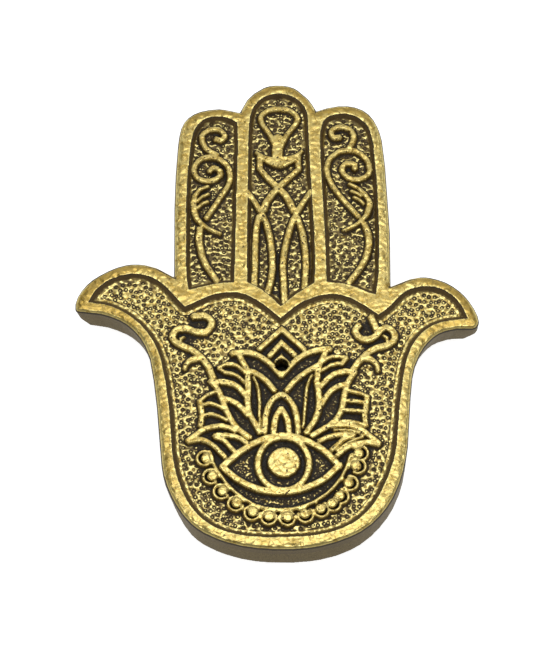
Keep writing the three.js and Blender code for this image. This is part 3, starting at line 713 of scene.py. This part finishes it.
def age(mesh, relief):
    """Stores where the gilding and the stain lie, how bright the gold is, and where the side paint is."""
    points, normals = points_of(mesh), normals_of(mesh)
    up = normals[:, 2]
    on_face = face_points(relief, points)

    def on_mesh(field):
        return relief.chart.read(field, points[:, :2])

    # The gold ends on the rolled edge in a dark line, above the paint of the wall
    upper = points[:, 2] > relief.top - 3
    # On the fingertips' side this line is wider: painted shade
    outer_line_and_shade = on_mesh(relief.edge_line_and_shade) * ramp(up, 0.1, 0.3) * upper
    edge = ramp(up, 0.5, 0.8) * upper * (1 - 0.85 * outer_line_and_shade)
    line = np.maximum(soft_line(up, 0.32, 0.26) * upper, outer_line_and_shade)
    hole = ~on_face & (np.hypot(*(points[:, :2] - relief.hole).T) < HOLE_REACH) & (up > -0.5)
    give(mesh, "gilt", np.where(on_face, on_mesh(relief.gilt), edge))
    give(mesh, "shut", np.where(on_face, on_mesh(relief.shut), np.where(hole, 1, line)))
    # How bright the gold is holds painted light and shade as well
    give(mesh, "rubbed_and_lit", np.where(on_face, on_mesh(relief.rubbed_and_lit), 0.6))
    give(mesh, "side", np.where(on_face | hole, 0, 1 - line))


def lay_flat(mesh):
    """A map for baking: the face from above, and smaller patches for the underside and four outer walls."""
    points = points_of(mesh)
    low, high = points.min(axis=0), points.max(axis=0)
    size = high - low
    corner = np.empty(len(mesh.loops), np.int32)
    mesh.loops.foreach_get("vertex_index", corner)
    normal = np.empty(len(mesh.polygons) * 3, np.float32)
    mesh.polygons.foreach_get("normal", normal)
    total = np.empty(len(mesh.polygons), np.int32)
    mesh.polygons.foreach_get("loop_total", total)
    normal = np.repeat(normal.reshape(-1, 3), total, axis=0)
    place = (points[corner] - low) / size[1]
    # The face fills the map's height. The patches stand in the free strip on its right, the underside above
    # and the four walls side by side below
    flat = place[:, :2] * 0.98 + 0.01
    right = size[0] / size[1] + 0.005
    beneath = normal[:, 2] < -0.5
    flat[beneath] = place[beneath, :2] * 0.2 + (right, 0.75)
    wall = abs(normal[:, 2]) < 0.25
    for index, (axis, sign) in enumerate([(0, -1), (0, 1), (1, -1), (1, 1)]):
        towards = wall & (np.argmax(abs(normal[:, :2]), axis=1) == axis) & (normal[:, axis] * sign > 0)
        column = right + 0.045 * index + place[towards, 2] * 0.5
        flat[towards] = np.stack([column, 0.02 + place[towards, 1 - axis] * 0.68], axis=1)
    mesh.uv_layers.new(name="OFBake").uv.foreach_set("vector", flat.astype(np.float32).ravel())


def gilded_resin(finishes):
    """Cast polyresin, stained dark and then gilded with a dry brush. The brush only touches what stands up,
    so the eye sees bright rubbed gold on the flats and tops, brown on every slope and black in the tight
    recesses; the outer wall keeps its plain dull bronze paint. The gold's brightness holds painted light
    and shade as well."""
    material, tree = blank_material("gilded_cast_resin")
    here = add(tree, "TexCoord").outputs["Object"]
    gilt = add(tree, "Attribute", attribute_name="gilt").outputs["Fac"]
    shut = add(tree, "Attribute", attribute_name="shut").outputs["Fac"]
    side = add(tree, "Attribute", attribute_name="side").outputs["Fac"]
    rubbed_and_lit = add(tree, "Attribute", attribute_name="rubbed_and_lit").outputs["Fac"]
    # Brush streaks, 0.7 to a millimetre, break up the edge of the gilding
    streaks = add(tree, "TexNoise", {"Vector": here, "Scale": 0.7 / MM, "Detail": 4.0, "Roughness": 0.6})
    broken = add(tree, "Math", {0: streaks.outputs["Fac"], 1: 0.5, 2: -0.25}, operation="MULTIPLY_ADD")
    reach = add(tree, "Math", {0: gilt, 1: broken.outputs[0]}, operation="ADD")
    brushed = add(tree, "MapRange", {"Value": reach.outputs[0], "From Min": 0.3, "From Max": 0.7},
                  interpolation_type="SMOOTHSTEP").outputs["Result"]
    # Thin and thick gold in patches of about 2 mm
    patches = add(tree, "TexNoise", {"Vector": here, "Scale": 1 / (2 * MM), "Detail": 6.0, "Roughness": 0.75})
    # Creases of the leaf, some 2 mm apart and bent by up to 1.2 mm, which show in places
    bent = add(tree, "Mix", {0: 1.2 * MM, 6: here, 7: patches.outputs["Color"]}, data_type="RGBA",
               blend_type="ADD")
    folds = add(tree, "TexVoronoi", {"Vector": bent.outputs[2], "Scale": 1 / (2 * MM)},
                feature="DISTANCE_TO_EDGE")
    crease = add(tree, "MapRange", {"Value": folds.outputs["Distance"], "From Max": 0.07,
                                    "To Min": 1.0, "To Max": 0.0})
    shown = add(tree, "MapRange", {"Value": streaks.outputs["Fac"], "From Min": 0.45, "From Max": 0.6,
                                   "To Max": 0.6})
    worn = add(tree, "Math", {0: crease.outputs["Result"], 1: shown.outputs["Result"]}, operation="MULTIPLY")
    left = add(tree, "Math", {0: patches.outputs["Fac"], 1: worn.outputs[0]}, operation="SUBTRACT")
    # The stored brightness of the gold, painted light and shade included, is added
    left = add(tree, "Math", {0: left.outputs[0], 1: rubbed_and_lit}, operation="ADD")
    thick = add(tree, "MapRange", {"Value": left.outputs[0], "From Min": 0.78, "From Max": 1.28})
    gold = add(tree, "Mix", {0: thick.outputs["Result"], 6: finishes.dull_gold, 7: finishes.gold},
               data_type="RGBA")
    stain = add(tree, "Mix", {0: shut, 6: finishes.brown, 7: finishes.black}, data_type="RGBA")
    # Grit of the casting, drawn at a third of a millimetre so that it shows
    grit = add(tree, "TexNoise", {"Vector": here, "Scale": 3.0 / MM, "Detail": 2.0})
    grain = add(tree, "MapRange", {"Value": grit.outputs["Fac"], "From Min": 0.3, "From Max": 0.7,
                                   "To Min": 0.65, "To Max": 1.35})
    wall = add(tree, "Mix", {0: 1.0, 6: finishes.bronze, 7: grain.outputs["Result"]}, data_type="RGBA",
               blend_type="MULTIPLY")
    under = add(tree, "Mix", {0: side, 6: stain.outputs[2], 7: wall.outputs[2]}, data_type="RGBA")
    paint = add(tree, "Mix", {0: brushed, 6: under.outputs[2], 7: gold.outputs[2]}, data_type="RGBA")
    painted = add(tree, "MapRange", {"Value": side, "To Min": 0.15, "To Max": 0.7})
    metal = add(tree, "Math", {0: brushed, 1: painted.outputs["Result"]}, operation="MAXIMUM")
    rough = add(tree, "MapRange", {"Value": brushed, "To Min": 0.6, "To Max": 0.3})
    bump = add(tree, "Bump", {"Height": grit.outputs["Fac"], "Strength": 0.15, "Distance": 0.05 * MM})
    bump = add(tree, "Bump", {"Height": crease.outputs["Result"], "Strength": 0.5, "Distance": 0.03 * MM,
                              "Normal": bump.outputs["Normal"]}, invert=True)
    # Clear varnish over the gold turns its brightest parts pale
    shader = add(tree, "BsdfPrincipled", {
        "Base Color": paint.outputs[2], "Metallic": metal.outputs[0], "Roughness": rough.outputs["Result"],
        "Normal": bump.outputs["Normal"], "Coat Weight": brushed, "Coat Roughness": 0.28, "Coat IOR": 1.6})
    add(tree, "OutputMaterial", {"Surface": shader.outputs["BSDF"]})
    return material


def foam_rubber(finishes):
    """Closed-cell foam rubber, cut with a punch: matt black, with fine open cells of 0.3 mm on the cut."""
    material, tree = blank_material("foam_rubber")
    here = add(tree, "TexCoord").outputs["Object"]
    cells = add(tree, "TexVoronoi", {"Vector": here, "Scale": 1 / (0.3 * MM)})
    shade = add(tree, "MapRange", {"Value": cells.outputs["Distance"], "From Max": 0.8,
                                   "To Min": 0.6, "To Max": 1.6})
    tone = add(tree, "Mix", {0: 1.0, 6: finishes.foam, 7: shade.outputs["Result"]}, data_type="RGBA",
               blend_type="MULTIPLY")
    bump = add(tree, "Bump", {"Height": cells.outputs["Distance"], "Strength": 0.6, "Distance": 0.1 * MM})
    shader = add(tree, "BsdfPrincipled", {
        "Base Color": tone.outputs[2], "Roughness": 0.92, "Specular IOR Level": 0.25,
        "Normal": bump.outputs["Normal"]})
    add(tree, "OutputMaterial", {"Surface": shader.outputs["BSDF"]})
    return material


class HOLDER_OT_hand_plate(bpy.types.Operator):
    """Makes the carved and gilded casting"""

    bl_idname = "holder.hand_plate"
    bl_label = "Hand plate"

    def execute(self, context):
        made = carve(context.scene.holder_casting)
        made.data.materials.append(gilded_resin(context.scene.holder_finishes))
        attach(made, "root")
        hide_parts(PLATE)
        return {"FINISHED"}


def pressed_pad(name, low, high):
    """A punched foam disc, turned from its profile between two corners of its box."""
    centre = (low + high) / 2
    radius, thick = (high.x - low.x) / 2, high.z - low.z
    angles = np.arange(PAD_TURNS) * 2 * math.pi / PAD_TURNS
    rows = []
    for share, height in PAD_PROFILE[1:-1]:
        rows.append(np.stack([centre.x + radius * share * np.cos(angles),
                              centre.y + radius * share * np.sin(angles),
                              np.full(PAD_TURNS, low.z + thick * height)], axis=1))
    points = np.vstack([[[centre.x, centre.y, low.z]], *rows, [[centre.x, centre.y, high.z]]])
    last = len(points) - 1
    faces = []
    for turn in range(PAD_TURNS):
        after = (turn + 1) % PAD_TURNS
        faces.append((0, 1 + after, 1 + turn))
        for row in range(len(rows) - 1):
            base = 1 + row * PAD_TURNS
            above = base + PAD_TURNS
            faces.append((base + turn, base + after, above + after, above + turn))
        base = 1 + (len(rows) - 1) * PAD_TURNS
        faces.append((base + turn, base + after, last))
    mesh = bpy.data.meshes.new(name)
    mesh.from_pydata(points.tolist(), [], faces)
    mesh.shade_smooth()
    return new_object(name, mesh)


class HOLDER_OT_foot_pads(bpy.types.Operator):
    """Makes the foam pads under the plate"""

    bl_idname = "holder.foot_pads"
    bl_label = "Foot pads"

    def execute(self, context):
        foam = foam_rubber(context.scene.holder_finishes)
        for node in PADS:
            made = pressed_pad("foam_" + node, *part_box(node))
            made.data.materials.append(foam)
            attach(made, "root")
            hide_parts(node)
        return {"FINISHED"}


def floor_paper():
    """White seamless paper: matt, and white to the camera apart from the holder's soft shadow."""
    material, tree = blank_material("white_paper")
    path = add(tree, "LightPath").outputs
    seen = add(tree, "Math", {0: path["Is Camera Ray"], 1: path["Is Glossy Ray"]}, operation="MAXIMUM")
    seen = add(tree, "Math", {0: seen.outputs[0], 1: path["Is Transmission Ray"]}, operation="MAXIMUM")
    paper = add(tree, "BsdfDiffuse", {"Color": (0.8, 0.8, 0.8, 1)})
    glow = add(tree, "Emission", {"Color": (1, 1, 1, 1), "Strength": 0.85})
    lit = add(tree, "AddShader", {0: paper.outputs[0], 1: glow.outputs[0]})
    either = add(tree, "MixShader", {0: seen.outputs[0], 1: paper.outputs[0], 2: lit.outputs[0]})
    # The paper is clear from beneath, so that the underside can be looked at
    beneath = add(tree, "NewGeometry").outputs["Backfacing"]
    clear = add(tree, "BsdfTransparent")
    sided = add(tree, "MixShader", {0: beneath, 1: either.outputs[0], 2: clear.outputs[0]})
    add(tree, "OutputMaterial", {"Surface": sided.outputs[0]})
    return material


def lamp(name, place, aim, size, power):
    """A soft rectangular light at a place in metres, turned to a point."""
    light = bpy.data.lights.new(name, "AREA")
    light.shape = "RECTANGLE"
    light.size, light.size_y = size
    light.energy = power
    made = new_object(name, light)
    made.location = place
    made.rotation_euler = (Vector(aim) - Vector(place)).to_track_quat("-Z", "Y").to_euler()


def studio_air():
    """Surroundings with pale walls round a darker ceiling."""
    world = bpy.data.worlds.new("studio_air")
    world.use_nodes = True
    tree = world.node_tree
    tree.nodes.clear()
    upward = add(tree, "SeparateXYZ", {0: add(tree, "TexCoord").outputs["Generated"]}).outputs["Z"]
    pale = add(tree, "MapRange", {"Value": upward, "From Min": 0.1, "From Max": 0.75,
                                  "To Min": 1.0, "To Max": 0.2})
    air = add(tree, "Background", {"Color": (1, 1, 1, 1), "Strength": pale.outputs["Result"]})
    add(tree, "OutputWorld", {"Surface": air.outputs[0]})
    return world


class HOLDER_OT_stage(bpy.types.Operator):
    """Makes the floor, the lights, the surroundings and the camera"""

    bl_idname = "holder.stage"
    bl_label = "Studio"

    def execute(self, context):
        settings = context.scene.holder_studio
        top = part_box(PLATE)[1].z
        mesh = bpy.data.meshes.new("paper_floor")
        # A little lower than the undersides of the pads, which would flicker in it
        under = -0.2 * MM
        sides = [(-1, -1), (1, -1), (1, 1), (-1, 1)]
        mesh.from_pydata([(x * FLOOR_HALF, y * FLOOR_HALF, under) for x, y in sides], [], [(0, 1, 2, 3)])
        mesh.materials.append(floor_paper())
        new_object("paper_floor", mesh)
        for name, (place, aim, size), power in (("ceiling_light", CEILING_LIGHT, settings.ceiling),
                                                ("far_light", FAR_LIGHT, settings.far)):
            lamp(name, place, (*aim, top), size, power)
        context.scene.world = studio_air()
        self.set_camera(context, settings, top)
        context.scene.view_settings.view_transform = "Standard"
        return {"FINISHED"}

    def set_camera(self, context, settings, top):
        data = bpy.data.cameras.new("photo_camera")
        data.sensor_width = 36.0
        data.lens = settings.focal * data.sensor_width
        made = new_object("photo_camera", data)
        aim = Vector((settings.aim_x, settings.aim_y, top))
        back = Vector((0, -math.sin(settings.tilt), math.cos(settings.tilt)))
        turn = Matrix.Rotation(settings.tilt, 4, "X") @ Matrix.Rotation(settings.roll, 4, "Z")
        made.matrix_world = Matrix.Translation(aim + back * settings.distance) @ turn
        context.scene.camera = made


class HOLDER_PT_panel(bpy.types.Panel):
    """Lists the steps that dress the holder, and their settings"""

    bl_label = "Hamsa incense holder"
    bl_idname = "HOLDER_PT_panel"
    bl_space_type = "VIEW_3D"
    bl_region_type = "UI"
    bl_category = "Holder"

    def draw(self, context):
        for step in STEPS:
            self.layout.operator(step.bl_idname)
        for name, kind in GROUPS.items():
            for prop in kind.__annotations__:
                self.layout.prop(getattr(context.scene, name), prop)


STEPS = (HOLDER_OT_stage, HOLDER_OT_hand_plate, HOLDER_OT_foot_pads)
GROUPS = {"holder_casting": CastingSizes, "holder_finishes": Finishes, "holder_studio": StudioSettings}


def register():
    for kind in (*GROUPS.values(), *STEPS, HOLDER_PT_panel):
        bpy.utils.register_class(kind)
    for name, group in GROUPS.items():
        setattr(bpy.types.Scene, name, bpy.props.PointerProperty(type=group))


def unregister():
    for name in GROUPS:
        delattr(bpy.types.Scene, name)
    for kind in (HOLDER_PT_panel, *reversed(STEPS), *GROUPS.values()):
        bpy.utils.unregister_class(kind)


def main():
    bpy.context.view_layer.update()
    register()
    bpy.ops.holder.stage()
    bpy.ops.holder.hand_plate()
    bpy.ops.holder.foot_pads()


if __name__ == "__main__":
    main()
